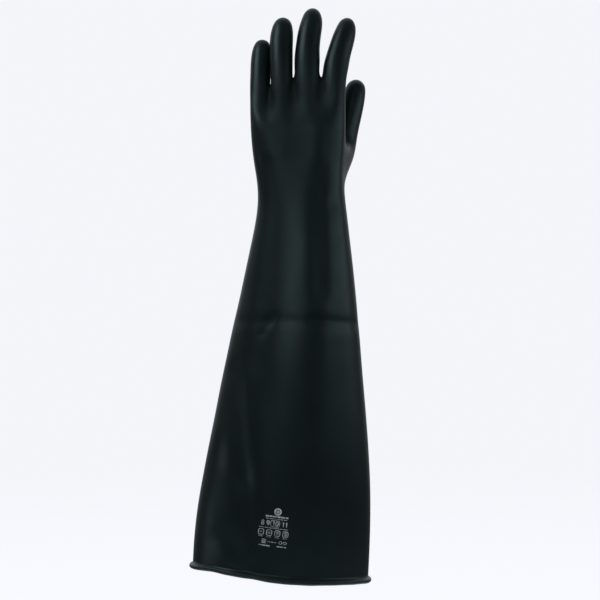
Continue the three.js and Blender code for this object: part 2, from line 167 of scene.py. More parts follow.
# %% [markdown]
# The thumb stands in front of the palm, behind the hand in this view. It grows from four
# faces of the palm's side, and its rings turn from facing the palm to facing upwards. Two
# angles for each ring say how far it has turned.

# %% Describe the thumb
ThumbRing = namedtuple("ThumbRing", "x y z width depth pitch lean")
THUMB = [
    ThumbRing(66, 34, 444, 15.6, 16, 48, 8),
    ThumbRing(70.8, 40, 468, 13.4, 13.2, 22, 12),
    ThumbRing(76.9, 43.5, 490, 12.5, 12, 8, 13),
    ThumbRing(81.5, 46.5, 511, 12.3, 11.4, 6, 12),
    ThumbRing(84.2, 48.2, 525.5, 10, 9.2, 6, 8),
    ThumbRing(85, 48.8, 533.8, 0, 0, 0, 0),
]
THUMB_ROOT_SECTION = 12          # the lowest of the three sections that it grows from
THUMB_START = math.radians(45)   # its first corner meets the first corner of its opening

# %% [markdown]
# Smoothing works best on a cage of few, large, four-sided faces. The cage could be drawn in
# edit mode, but building it from the tables means that a changed size moves every face that
# depends on it. Four small helpers are enough: add a ring of points, bridge two rings with
# faces, close a ring at a tip, and drop the points that no face uses.

# %% Build a cage ring by ring
class Cage:
    """Points and four-sided faces, gathered ring by ring."""

    def __init__(self):
        self.points = []
        self.faces = []

    def add_ring(self, points):
        start = len(self.points)
        self.points.extend(tuple(point) for point in points)
        return list(range(start, len(self.points)))

    def bridge(self, lower, upper, skipped=()):
        for column, corner in enumerate(lower):
            beside = (column + 1) % len(lower)
            if column not in skipped:
                self.faces.append((corner, lower[beside], upper[beside], upper[column]))

    def close_tip(self, ring, point):
        (tip,) = self.add_ring([point])
        for side in range(0, FINGER_SIDES, 2):
            last = ring[(side + 2) % FINGER_SIDES]
            self.faces.append((tip, ring[side], ring[side + 1], last))

    def drop_unused(self):
        used = sorted({corner for face in self.faces for corner in face})
        numbers = {corner: number for number, corner in enumerate(used)}
        self.points = [self.points[corner] for corner in used]
        self.faces = [tuple(numbers[corner] for corner in face) for face in self.faces]


cage = Cage()

# %% [markdown]
# Round the hand the cage has 26 columns: one down each side, and three for each finger on
# the back and on the palm. The eight corners of a finger's root fall on those columns, but
# for the inner ones, which lie down in the webs and have no column.

# %% Find the columns of the cage
COLUMNS_PER_FINGER = 3
COLUMNS_PER_FACE = COLUMNS_PER_FINGER * len(ROOTS)
LEFT_COLUMN = 0
RIGHT_COLUMN = COLUMNS_PER_FACE + 1
COLUMNS = 2 * COLUMNS_PER_FACE + 2


def root_point(root, side):
    """A corner of a finger's root, from its left side round by the back of the hand."""
    angle = math.pi + side * TURN / FINGER_SIDES
    knuckle, web, palm = root.knuckle, root.web, root.palm
    height = (web, knuckle, knuckle, knuckle, web, palm, palm, palm)[side]
    return (root.x + root.width * math.cos(angle), root.y + root.depth * math.sin(angle), height)


def root_column(finger, side):
    """The column of a finger's root corner, or None inside a web."""
    last = len(ROOTS) - 1
    if side == 0:
        return LEFT_COLUMN if finger == 0 else None
    if side == 4:
        return RIGHT_COLUMN if finger == last else None
    if side < 4:
        return COLUMNS_PER_FINGER * finger + side
    return RIGHT_COLUMN + COLUMNS_PER_FINGER * (last - finger) + side - 4


root_ring_points = [None] * COLUMNS
for finger, root in enumerate(ROOTS.values()):
    for side in range(FINGER_SIDES):
        if root_column(finger, side) is not None:
            root_ring_points[root_column(finger, side)] = root_point(root, side)

root_x = np.array([point[0] for point in root_ring_points])
root_left, root_right = root_x[LEFT_COLUMN], root_x[RIGHT_COLUMN]
gathered_share = (2 * root_x - root_left - root_right) / (root_right - root_left)
print(COLUMNS, "columns round the hand")

# %% [markdown]
# Each section becomes one ring of cage points. Near the cuff the columns are evenly spaced
# round the oval. Towards the knuckles they gather under the fingers that they lead to. The
# cuff's edge isn't level: it falls towards the thumb side and is drawn up here and there.

# %% Make the rings of the sleeve and the hand
def smooth_step(value):
    share = np.clip(value, 0, 1)
    return share ** 2 * (3 - 2 * share)


def bump(distance, reach):
    return np.exp(-(distance / reach) ** 2)


def section_ring(section):
    column = np.arange(COLUMNS)
    even_share = -np.cos(column * TURN / COLUMNS)
    share = even_share + (gathered_share - even_share) * section.gather
    rise = 1 - np.minimum(1, abs(share)) ** section.boxiness
    rise = rise ** (1 / section.boxiness)
    is_front = column < RIGHT_COLUMN
    half_width = (section.right - section.left) / 2 * SLEEVE_CAGE
    half_depth = (section.back - section.front) / 2 * SLEEVE_CAGE
    x = (section.left + section.right) / 2 + half_width * share
    y = (section.front + section.back) / 2 + np.where(is_front, -1, 1) * half_depth * rise
    lift = sum(row.height * bump(x - row.x, row.reach) for row in RIM_LIFTS)
    rim_share = 1 - smooth_step(section.z / RIM_SLOPE_ENDS)
    z = section.z + rim_share * (RIM_SLOPE * x + np.where(is_front, lift * rise, 0))
    return np.column_stack((x, y, z))


rows = [cage.add_ring(section_ring(section)) for section in SECTIONS]
rows.append(cage.add_ring(root_ring_points))
thumb_columns = (RIGHT_COLUMN, RIGHT_COLUMN + 1)
for row in range(len(rows) - 1):
    grows_thumb = row in (THUMB_ROOT_SECTION, THUMB_ROOT_SECTION + 1)
    cage.bridge(rows[row], rows[row + 1], thumb_columns if grows_thumb else ())
print(len(cage.faces), "cage faces so far")

# %% [markdown]
# The fingers and the thumb are short tubes of eight sides, closed by four faces at the tip.
# A finger's rings are set square to the line through the rings next to them, so they tip
# over as the finger curls. The webs are two faces each, one to the back and one to the palm.

# %% Make the fingers, the webs and the thumb
def tube_ring(ring, pitch, lean, start_angle):
    sideways = np.array((math.cos(lean), 0, -math.sin(lean)))
    deepways = np.array((0, math.cos(pitch), -math.sin(pitch)))
    angle = start_angle + np.arange(FINGER_SIDES)[:, None] * TURN / FINGER_SIDES
    across = ring.width * FINGER_CAGE * np.cos(angle) * sideways
    along = ring.depth * FINGER_CAGE * np.sin(angle) * deepways
    return np.array((ring.x, ring.y, ring.z)) + across + along


root_rings = []
for finger, root in enumerate(ROOTS.values()):
    ring = []
    for side in range(FINGER_SIDES):
        column = root_column(finger, side)
        is_inner = column is None
        ring.append(cage.add_ring([root_point(root, side)])[0] if is_inner else rows[-1][column])
    root_rings.append(ring)

for below, rings in zip(root_rings, FINGERS.values()):
    for number, ring in enumerate(rings[:-1]):
        last, following = rings[max(0, number - 1)], rings[number + 1]
        pitch = math.atan2(following.y - last.y, following.z - last.z)
        lean = math.atan2(following.x - last.x, following.z - last.z)
        above = cage.add_ring(tube_ring(ring, pitch, lean, math.pi))
        cage.bridge(below, above)
        below = above
    cage.close_tip(below, rings[-1][:3])

for left, right in zip(root_rings, root_rings[1:]):
    cage.faces.append((left[3], right[1], right[0], left[4]))
    cage.faces.append((left[4], right[0], right[7], left[5]))

low, middle, high = rows[THUMB_ROOT_SECTION:THUMB_ROOT_SECTION + 3]
right, centre, left = RIGHT_COLUMN, RIGHT_COLUMN + 1, RIGHT_COLUMN + 2
below = [low[right], low[centre], low[left], middle[left]]
below += [high[left], high[centre], high[right], middle[right]]
for ring in THUMB[:-1]:
    angles = math.radians(ring.pitch), math.radians(ring.lean), THUMB_START
    above = cage.add_ring(tube_ring(ring, *angles))
    cage.bridge(below, above)
    below = above
cage.close_tip(below, THUMB[-1][:3])
cage.drop_unused()               # the one point inside the thumb's opening
print(len(cage.faces), "cage faces in all")

# %% [markdown]
# Dipped rubber has no corner anywhere but at its edge. The Subdivision Surface modifier
# rounds the cage in the same way: each level splits every face in four and evens out the
# corners. With its limit surface switched on, the points lie where endless smoothing would
# bring them, so the hand keeps its size at any level. The result is read back as plain
# arrays, because the folds and the wall are easier to work out there than with modifiers.

# %% Smooth the cage
SMOOTH_LEVEL = 3


def mesh_object(name, points_mm, faces):
    mesh = bpy.data.meshes.new(name)
    mesh.from_pydata((np.asarray(points_mm) * MM).tolist(), [], [tuple(face) for face in faces])
    mesh.update()
    made = bpy.data.objects.new(name, mesh)
    bpy.context.scene.collection.objects.link(made)
    return made


def smoothed(points_mm, faces, level):
    """The points, in millimetres, and four-sided faces of a cage after subdivision."""
    rough = mesh_object("cage", points_mm, faces)
    modifier = rough.modifiers.new("Subdivision", "SUBSURF")
    modifier.levels = level
    modifier.use_limit_surface = True
    smooth = rough.evaluated_get(bpy.context.evaluated_depsgraph_get()).to_mesh()
    points = np.empty(len(smooth.vertices) * 3)
    smooth.vertices.foreach_get("co", points)
    corners = np.empty(len(smooth.loops), int)
    smooth.loops.foreach_get("vertex_index", corners)
    rough.to_mesh_clear()
    bpy.data.objects.remove(rough)
    return points.reshape(-1, 3) / MM, corners.reshape(-1, 4)


outside, quads = smoothed(cage.points, cage.faces, SMOOTH_LEVEL)
print(len(outside), "points and", len(quads), "faces on the outside")

# %% [markdown]
# Long gloves are packed flat and folded once, so a crease runs across the sleeve, with a
# soft lip below it. Loose rubber also sinks into long furrows down the forearm, folds at
# the wrist, and hollows between the knuckles. It stands up in ridges over the knuckles, and
# gathers in short creases between the fingers. All this could be sculpted, or painted as
# bump, but a bump map leaves the outline straight. Here each fold is one line in a table,
# and it moves the surface in or out along its own direction, most of all on the line itself.

# %% Describe the folds
Fold = namedtuple("Fold", "fold from_x from_z to_x to_z face depth reach")
BACK_OF_HAND, PALM_SIDE = -1, 1
FOLDS = [
    Fold("crease left", -56, 266, -14, 267, BACK_OF_HAND, -0.6, 7),
    Fold("crease middle", -14, 267, 38, 267, BACK_OF_HAND, -0.4, 6),
    Fold("crease dimple", -5, 273, -17, 254, BACK_OF_HAND, -0.9, 5),
    Fold("crease right", 38, 268, 88, 263, BACK_OF_HAND, -0.8, 6),
    Fold("lip right", 45, 253, 86, 250, BACK_OF_HAND, 0.25, 10),
    Fold("crease behind", -40, 268, 76, 264, PALM_SIDE, -1.4, 7),
    Fold("upper furrow", -47, 212, -36, 105, BACK_OF_HAND, -2.0, 12),
    Fold("swell by the cuff", -56, 38, -48, 24, BACK_OF_HAND, 2.0, 16),
    Fold("lower furrow", -36, 105, -28, 12, BACK_OF_HAND, -1.8, 12),
    Fold("flat by furrow", -58, 110, -56, 60, BACK_OF_HAND, -3.0, 24),
    Fold("ridge by furrow", -30, 205, -12, 60, BACK_OF_HAND, 1.4, 14),
    Fold("wrist fold", 69, 402, 60, 390, BACK_OF_HAND, -0.6, 10),
    Fold("long wrist fold", 60, 390, 65, 360, BACK_OF_HAND, -0.7, 11),
    Fold("ring-middle hollow", 14, 496, 14, 442, BACK_OF_HAND, -1.4, 12),
    Fold("middle-index hollow", 49, 500, 46, 420, BACK_OF_HAND, -0.9, 12),
    Fold("middle knuckle ridge", 44, 484, 42, 440, BACK_OF_HAND, 1.2, 11),
    Fold("little knuckle ridge", -24, 486, -14, 446, BACK_OF_HAND, 1.2, 10),
    Fold("little-ring hollow", -10, 500, -7, 455, BACK_OF_HAND, -0.7, 10),
    Fold("little-ring crease", -9.5, 496, -9.5, 506, BACK_OF_HAND, -1.4, 4),
    Fold("ring-middle crease", 15.2, 500, 15.4, 514, BACK_OF_HAND, -2.0, 4.2),
    Fold("middle-index crease", 43, 498, 44, 512, BACK_OF_HAND, -2.0, 4.2),
    Fold("forearm hollow", 41, 400, 44.5, 300, BACK_OF_HAND, -1.3, 10),
    Fold("palm hollow", 16, 478, 26, 425, PALM_SIDE, -2.4, 14),
    Fold("wrist crease behind", -18, 394, 66, 390, PALM_SIDE, -1.6, 7),
]


def outward_normals(points, faces):
    a, b, c, d = (points[faces[:, corner]] for corner in range(4))
    face_normals = np.cross(c - a, d - b)
    normals = np.zeros_like(points)
    for corner in range(4):
        np.add.at(normals, faces[:, corner], face_normals)
    return normals / np.linalg.norm(normals, axis=1, keepdims=True)


def fold_height(points, normals, folds):
    """How far the folds move each point outwards."""
    height = np.zeros(len(points))
    for row in folds:
        start = np.array((row.from_x, row.from_z))
        along = np.array((row.to_x, row.to_z)) - start
        offset = points[:, (0, 2)] - start
        share = np.clip(offset @ along / (along @ along), 0, 1)[:, None]
        distance = np.linalg.norm(offset - share * along, axis=1)
        facing = smooth_step(2 * row.face * normals[:, 1])
        height += row.depth * facing * bump(distance, row.reach)
    return height


normals = outward_normals(outside, quads)
outside += fold_height(outside, normals, FOLDS)[:, None] * normals
print(len(FOLDS), "folds")

# %% [markdown]
# No two places on a dipped skin are quite alike: it hangs in long shallow waves down the
# sleeve, and the finish shows them in its highlights. A wave modifier would repeat itself,
# so smooth noise that is stretched along the sleeve gives them here.

# %% Add the shallow waves of hanging rubber
Wave = namedtuple("Wave", "across along height shift")
WAVES = [Wave(34, 150, 0.45, 3.1), Wave(15, 60, 0.10, 8.7), Wave(48, 40, 0.25, 5.3)]
WAVES_END = (330, 400)           # they die out below the wrist, where the rubber is tight


def wave_height(points):
    fade = 1 - smooth_step((points[:, 2] - WAVES_END[0]) / (WAVES_END[1] - WAVES_END[0]))
    height = np.zeros(len(points))
    for wave in WAVES:
        scaled = points / (wave.across, wave.across, wave.along) + wave.shift
        height += wave.height * np.array([noise.noise(Vector(point)) for point in scaled])
    return height * fade


normals = outward_normals(outside, quads)
outside += wave_height(outside)[:, None] * normals
normals = outward_normals(outside, quads)
print("outside now spans", outside.min(axis=0).round(1), outside.max(axis=0).round(1), "mm")

# %% [markdown]
# The wall is 1.5 mm thick all over, and the bead is the wall's own edge, rolled outwards
# into a ring. Solidify could thicken the skin and a separate tube could make the bead, but
# then the two would only overlap. Instead the outside, the round of the bead and the inside
# are joined into one closed skin, as the real rubber is.

# %% Close the skin with an inner wall and the rolled bead
RUBBER_THICKNESS = 1.5
BEAD_RADIUS = 2.5
BEAD_OFFSET = 1.0                # how far the bead's middle stands outside the sleeve
BEAD_ANGLES = np.radians(np.linspace(78, -166, 15))
BEAD_UNEVENNESS = 0.12
BEAD_PATCH = 18                  # about how long its thicker and thinner stretches are


def rim_loop(faces):
    """The open edge as a closed list of point numbers."""
    starts = faces.ravel()
    ends = np.roll(faces, -1, axis=1).ravel()
    one_way = set(zip(starts.tolist(), ends.tolist()))
    following = {a: b for a, b in one_way if (b, a) not in one_way}
    first = min(following)
    loop = [first]
    while following[loop[-1]] != first:
        loop.append(following[loop[-1]])
    return np.array(loop)


loop = rim_loop(quads)
rim = outside[loop]
outwards = normals[loop] * (1, 1, 0)
outwards /= np.linalg.norm(outwards, axis=1, keepdims=True)
down = np.array((RIM_SLOPE, 0, -1)) / math.hypot(RIM_SLOPE, 1)
unevenness = np.array([noise.noise(Vector(point) / BEAD_PATCH) for point in rim])
radius = (BEAD_RADIUS * (1 + BEAD_UNEVENNESS * unevenness))[:, None]

inside = outside - RUBBER_THICKNESS * normals
skin_points = [outside, inside]
rings = [loop]
count = 2 * len(outside)
for angle in BEAD_ANGLES:
    reach = BEAD_OFFSET + radius * math.cos(angle)
    drop = radius * (1 - math.sin(angle))
    skin_points.append(rim + reach * outwards + drop * down)
    rings.append(np.arange(count, count + len(loop)))
    count += len(loop)
rings.append(loop + len(outside))

skin_faces = [quads, quads[:, ::-1] + len(outside)]
for ring, following in zip(rings, rings[1:]):
    beside, below = np.roll(ring, -1), np.roll(following, -1)
    skin_faces.append(np.column_stack((beside, ring, following, below)))

skin_points = np.vstack(skin_points)
skin_faces = np.vstack(skin_faces)
glove = mesh_object("gauntlet_skin", skin_points, skin_faces.tolist())
glove.data.shade_smooth()
print("gauntlet has", 2 * len(skin_faces), "triangles")

# %% [markdown]
# Three facts about each point are kept with the mesh for the finish to read: whether it is
# on the inner wall, how much it is rubbed, and how sheltered it lies. Fingertips, knuckles
# and the bead are touched and stacked most, so their shine is a little greyer. Dust keeps
# the creases between the fingers and the hollow of the hand dull. Painting such maps by
# hand would do, but here all three follow from where the point is.

# %% Mark the inner wall and the rubbed and sheltered places
Mark = namedtuple("Mark", "x z reach amount")
RUBS = [
    Mark(-17, 566, 16, 0.9),
    Mark(4, 590, 18, 0.9),
    Mark(34, 600, 18, 1.0),
    Mark(73, 590, 18, 1.0),
    Mark(85, 531, 18, 0.8),
    Mark(30, 495, 22, 0.35),
    Mark(58, 490, 20, 0.35),
]
is_inside = np.zeros(len(skin_points))
is_inside[len(outside):2 * len(outside)] = 1
rubbed = np.zeros(len(skin_points))
for row in RUBS:
    distance = np.hypot(skin_points[:, 0] - row.x, skin_points[:, 2] - row.z)
    rubbed += row.amount * bump(distance, row.reach)
rubbed[2 * len(outside):] = 1
rubbed = np.clip(rubbed, 0, 1)

SHELTERED = [
    Mark(-9.5, 500, 12, 1.0),
    Mark(15.2, 506, 12, 1.0),
    Mark(43.5, 504, 12, 1.0),
    Mark(13, 448, 24, 0.4),
]
SHELTER_STRETCH = 2              # these places are so many times as tall as broad
sheltered = np.zeros(len(skin_points))
for row in SHELTERED:
    drop = (skin_points[:, 2] - row.z) / SHELTER_STRETCH
    distance = np.hypot(skin_points[:, 0] - row.x, drop)
    sheltered += row.amount * bump(distance, row.reach)

marks = (("inner_wall", is_inside), ("rubbed", rubbed), ("sheltered", sheltered))
for name, values in marks:
    attribute = glove.data.attributes.new(name, "FLOAT", "POINT")
    attribute.data.foreach_set("value", values.astype(np.float32))
print("rubbed share", round(float(rubbed.mean()), 3))

# %% [markdown]
# Black natural rubber is nearly black with a breath of blue-green, and satin rather than
# shiny. One dark colour would look like plastic, so the colour drifts a little from place
# to place, the shine is broken by a finer unevenness, and a fine grain is left by the
# former. The Principled shader takes all of them. Its gloss stays at the value of rubber.

# %% Make the rubber finish
def new_material(name):
    material = bpy.data.materials.new(name)
    material.use_nodes = True
    nodes = material.node_tree.nodes
    return material, nodes, material.node_tree.links, nodes["Principled BSDF"]


def noise_node(nodes, links, place, size_mm, detail, stretch=(1, 1, 1)):
    """Noise whose patches are about size_mm across."""
    mapping = nodes.new("ShaderNodeMapping")
    mapping.inputs["Scale"].default_value = [share / (size_mm * MM) for share in stretch]
    links.new(place.outputs["Object"], mapping.inputs["Vector"])
    texture = nodes.new("ShaderNodeTexNoise")
    texture.inputs["Scale"].default_value = 1
    texture.inputs["Detail"].default_value = detail
    links.new(mapping.outputs["Vector"], texture.inputs["Vector"])
    return texture


def math_node(nodes, links, operation, first, second):
    node = nodes.new("ShaderNodeMath")
    node.operation = operation
    for socket, value in zip(node.inputs, (first, second)):
        if isinstance(value, (int, float)):
            socket.default_value = value
        else:
            links.new(value, socket)
    return node.outputs[0]


def colour_ramp(nodes, links, factor, stops):
    ramp = nodes.new("ShaderNodeValToRGB")
    for number, (position, colour) in enumerate(stops):
        if number >= 2:
            ramp.color_ramp.elements.new(position)
        ramp.color_ramp.elements[number].position = position
        ramp.color_ramp.elements[number].color = (*colour, 1)
    links.new(factor, ramp.inputs[0])
    return ramp.outputs[0]


def mix_colours(nodes, links, factor, first, second):
    node = nodes.new("ShaderNodeMix")
    node.data_type = "RGBA"
    links.new(factor, node.inputs["Factor"])
    for socket, value in ((node.inputs["A"], first), (node.inputs["B"], second)):
        if isinstance(value, tuple):
            socket.default_value = (*value, 1)
        else:
            links.new(value, socket)
    return node.outputs["Result"]


def bump_chain(nodes, links, layers):
    """Bump nodes in a row, each a (height, depth in mm, strength)."""
    normal = None
    for height, depth_mm, strength in layers:
        node = nodes.new("ShaderNodeBump")
        node.inputs["Distance"].default_value = depth_mm * MM
        node.inputs["Strength"].default_value = strength
        links.new(height, node.inputs["Height"])
        if normal is not None:
            links.new(normal, node.inputs["Normal"])
        normal = node.outputs["Normal"]
    return normal


RUBBER_DARK = (0.0050, 0.0085, 0.0085)
RUBBER_LIGHT = (0.0085, 0.0130, 0.0130)
RUBBER_BLOOM = (0.020, 0.026, 0.027)
RUBBER_ROUGHNESS = (0.33, 0.42)
RUBBER_TINT = (0.62, 0.94, 1.0)
INNER_DULLNESS = 0.25            # how much rougher the inner wall is
SHELTER_DULLNESS = 0.35          # how much rougher a fully sheltered place is

rubber, nodes, links, shader = new_material("black_rubber")
place = nodes.new("ShaderNodeTexCoord")
drift = noise_node(nodes, links, place, 60, 3)
patches = noise_node(nodes, links, place, 9, 4)
grain = noise_node(nodes, links, place, 1.1, 3)
ripple = noise_node(nodes, links, place, 6, 2, stretch=(1, 1, 1.6))

worn = nodes.new("ShaderNodeAttribute")
worn.attribute_name = "rubbed"
inner = nodes.new("ShaderNodeAttribute")
inner.attribute_name = "inner_wall"
dull = nodes.new("ShaderNodeAttribute")
dull.attribute_name = "sheltered"

body = colour_ramp(nodes, links, drift.outputs["Fac"], [(0.35, RUBBER_DARK), (0.7, RUBBER_LIGHT)])
bloom = math_node(nodes, links, "MULTIPLY", worn.outputs["Fac"], patches.outputs["Fac"])
body = mix_colours(nodes, links, bloom, body, RUBBER_BLOOM)
links.new(body, shader.inputs["Base Color"])

span = RUBBER_ROUGHNESS[1] - RUBBER_ROUGHNESS[0]
roughness = math_node(nodes, links, "MULTIPLY", patches.outputs["Fac"], span)
roughness = math_node(nodes, links, "ADD", roughness, RUBBER_ROUGHNESS[0])
inner_roughness = math_node(nodes, links, "MULTIPLY", inner.outputs["Fac"], INNER_DULLNESS)
roughness = math_node(nodes, links, "ADD", roughness, inner_roughness)
dull_roughness = math_node(nodes, links, "MULTIPLY", dull.outputs["Fac"], SHELTER_DULLNESS)
links.new(math_node(nodes, links, "ADD", roughness, dull_roughness), shader.inputs["Roughness"])

layers = [(ripple.outputs["Fac"], 0.12, 0.35), (grain.outputs["Fac"], 0.03, 0.35)]
links.new(bump_chain(nodes, links, layers), shader.inputs["Normal"])
shader.inputs["IOR"].default_value = 1.52
shader.inputs["Specular Tint"].default_value = (*RUBBER_TINT, 1)
glove.data.materials.append(rubber)

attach(glove, "root")
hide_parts("glove_shell")
print("rubber roughness from", *RUBBER_ROUGHNESS)

# %% [markdown]
# Gauntlets carry a small block of pale ink low on the sleeve. This one is generic: a plain
# ring, ruled bars, and a row of sizes with one of them framed. A decal texture could show
# it, but it would need a picture. Each stroke is drawn as a line in the block's own flat
# plane first, and then laid on the curved sleeve.

# %% Draw the print as strokes
Stroke = namedtuple("Stroke", "points width closed")
DIGIT_STEP = 0.72                # from one digit to the next, as a share of its height


def ring_stroke(u, v, width, height, line, corners=24, fullness=2.0):
    """An oval, or with more fullness a frame with rounded corners, round (u, v)."""
    points = []
    for corner in range(corners):
        angle = corner * TURN / corners
        cos, sin = math.cos(angle), math.sin(angle)
        scale = (abs(cos) ** fullness + abs(sin) ** fullness) ** (-1 / fullness)
        points.append((u + width / 2 * scale * cos, v + height / 2 * scale * sin))
    return Stroke(points, line, True)


def line_stroke(points, line):
    return Stroke(list(points), line, False)


def dashes(u, v, lengths, gap, line):
    """A row of bars from left to right, starting at u."""
    made = []
    for length in lengths:
        made.append(line_stroke([(u, v), (u + length, v)], line))
        u += length + gap
    return made


def arc(u, v, radius_u, radius_v, from_degrees, to_degrees, steps=10):
    angles = np.radians(np.linspace(from_degrees, to_degrees, steps))
    return [(u + radius_u * math.cos(a), v + radius_v * math.sin(a)) for a in angles]


def digit_strokes(digit):
    """The strokes of a digit in a cell 0.6 wide and 1 high, as lists of points."""
    if digit == "0":
        return [(arc(0.3, 0.5, 0.27, 0.5, 0, 330, 14), True)]
    if digit == "1":
        return [([(0.12, 0.8), (0.34, 1.0), (0.34, 0.0)], False)]
    if digit == "8":
        upper = arc(0.3, 0.76, 0.22, 0.24, 0, 324, 10)
        return [(upper, True), (arc(0.3, 0.26, 0.27, 0.27, 0, 330, 12), True)]
    tail = arc(0.1, 0.62, 0.46, 0.62, 0, -70, 7)
    return [(arc(0.3, 0.7, 0.27, 0.3, 0, 330, 12), True), (tail, False)]


def number_strokes(text, u, v, height, line):
    made = []
    for place_in_text, digit in enumerate(text):
        left = u + place_in_text * DIGIT_STEP * height
        for points, closed in digit_strokes(digit):
            placed = [(left + a * height, v + b * height) for a, b in points]
            made.append(Stroke(placed, line, closed))
    return made


# %% [markdown]
# The block is laid out in millimetres round its own middle, row by row, much as a printer
# sets it. Rows of bars are short and long by turns, so that the block has the lively grey
# of small print from a distance without saying anything.

# %% Lay out the print block
FINE, MEDIUM, BOLD = 0.5, 0.9, 1.5
NUMBER_HEIGHT = 4.6
FRAMES_LEVEL = -4.6              # height of the middles of the four small frames
FRAME_BAR_STEP = 1.15
NOTE_BAR_STEP = 1.25
print_strokes = [ring_stroke(1.5, 17.6, 6.2, 6.2, BOLD), ring_stroke(1.5, 17.6, 2.2, 2.2, MEDIUM, 12)]
print_strokes += dashes(-10.5, 12.4, (3.4, 2.2, 4.6, 3.0, 4.2, 2.4), 0.7, BOLD)
print_strokes += dashes(-9.8, 10.0, (2.6, 4.0, 2.0, 3.4, 2.8, 3.6), 0.7, FINE)
for text, u in (("8", -14.0), ("9", -8.6), ("10", -2.6), ("11", 7.2)):
    print_strokes += number_strokes(text, u, 2.9, NUMBER_HEIGHT, MEDIUM)
print_strokes.append(ring_stroke(0.2, 5.2, 9.2, 6.6, FINE, 32, 5.0))
print_strokes += dashes(-15.8, 0.4, (5.0, 3.2, 4.4, 5.6, 3.0, 4.8), 0.8, FINE)
for number, u in enumerate((-13.2, -4.8, 3.6, 12.0)):
    print_strokes.append(ring_stroke(u, FRAMES_LEVEL, 5.4, 5.8, FINE + 0.1, 28, 4.0))
    for bar in range(number + 1):
        height = FRAMES_LEVEL + (bar - number / 2) * FRAME_BAR_STEP
        print_strokes.append(line_stroke([(u - 1.4, height), (u + 1.4, height)], FINE))
    print_strokes += dashes(u - 2.2, -9.0, (1.6, 2.2), 0.5, FINE)
for bar in range(4):
    print_strokes += dashes(-11.4, -12.0 - NOTE_BAR_STEP * bar, (4.6,), 0.6, FINE)
print_strokes += dashes(-5.6, -14.0, (3.2, 2.2, 3.0), 0.6, FINE)
print_strokes += dashes(-14.0, -18.2, (3.4, 2.6, 4.2), 0.6, MEDIUM)
print_strokes += [ring_stroke(8.0, -13.6, 3.0, 3.0, FINE, 16), ring_stroke(12.6, -13.6, 3.6, 2.2, FINE, 16)]
print_strokes += dashes(4.6, -17.8, (2.8, 3.6, 2.2), 0.6, MEDIUM)
print(len(print_strokes), "strokes in the print")

# %% [markdown]
# Ink is a film with a little body. Shrinkwrap could press a flat print against the sleeve,
# but thin strokes would sink in or float over the folds. A ray is sent at the sleeve from
# each point of a stroke instead, and the stroke becomes a thin closed bar along the points
# that the rays hit, its top just above the rubber and its foot inside it.

# %% Lay the strokes on the sleeve
PRINT_MIDDLE = (-4.0, 54.5)      # x and z of the block's middle on the sleeve
PRINT_TILT = math.radians(-7.5)
INK_TOP = 0.10
INK_FOOT = 0.25
STROKE_STEP = 1.2
RAY_START = -100                 # y of a place well in front of the sleeve

sleeve_surface = BVHTree.FromPolygons(outside.tolist(), quads.tolist())


def spread_points(points, closed):
    """The stroke's corners, with points between them where they are far apart."""
    ends = points[1:] + points[:1] if closed else points[1:]
    spread = []
    for start, end in zip(points, ends):
        steps = max(1, math.ceil(math.dist(start, end) / STROKE_STEP))
        for step in range(steps):
            share = step / steps
            spread.append([a + (b - a) * share for a, b in zip(start, end)])
    return np.array(spread if closed else spread + [points[-1]])


def on_sleeve(u, v):
    """The point of the sleeve under the block's point (u, v), and the direction out of it."""
    x = PRINT_MIDDLE[0] + u * math.cos(PRINT_TILT) - v * math.sin(PRINT_TILT)
    z = PRINT_MIDDLE[1] + u * math.sin(PRINT_TILT) + v * math.cos(PRINT_TILT)
    hit, normal, _, _ = sleeve_surface.ray_cast(Vector((x, RAY_START, z)), Vector((0, 1, 0)))
    return np.array(hit), np.array(normal)


def stroke_bar(stroke, start):
    """A closed bar along a stroke, as points and faces numbered from start."""
    middle = spread_points(stroke.points, stroke.closed)
    if stroke.closed:
        ahead = np.roll(middle, -1, axis=0) - np.roll(middle, 1, axis=0)
    else:
        ahead = np.gradient(middle, axis=0)
    ahead /= np.linalg.norm(ahead, axis=1, keepdims=True)
    aside = np.column_stack((-ahead[:, 1], ahead[:, 0])) * stroke.width / 2
    points = []
    for left, right in zip(middle + aside, middle - aside):
        for side, height in ((left, INK_TOP), (left, -INK_FOOT), (right, -INK_FOOT), (right, INK_TOP)):
            at, outward = on_sleeve(*side)
            points.append(at + height * outward)
    count = len(middle)
    faces = []
    for station in range(count if stroke.closed else count - 1):
        here, there = start + 4 * station, start + 4 * ((station + 1) % count)
        for corner in range(4):
            beside = (corner + 1) % 4
            faces.append((here + corner, here + beside, there + beside, there + corner))
    if not stroke.closed:
        last = start + 4 * (count - 1)
        faces += [(start + 3, start + 2, start + 1, start), (last, last + 1, last + 2, last + 3)]
    return points, faces


ink_points, ink_faces = [], []
for stroke in print_strokes:
    points, faces = stroke_bar(stroke, len(ink_points))
    ink_points += points
    ink_faces += faces
size_print = mesh_object("size_print", ink_points, ink_faces)
print("print has", len(ink_faces), "faces")

# %% [markdown]
# The ink is pale blue-grey and flat. It takes badly on rubber, so it is thinner in places
# and the black shows through. A see-through mask could show that, but mixing the ink's
# colour towards the rubber's gives the same look and stays simple.

# %% Make the ink
INK_FULL = (0.84, 0.92, 0.97)
INK_THIN = (0.32, 0.38, 0.42)
INK_ROUGHNESS = 0.45
INK_ROUGHNESS_SPAN = 0.3

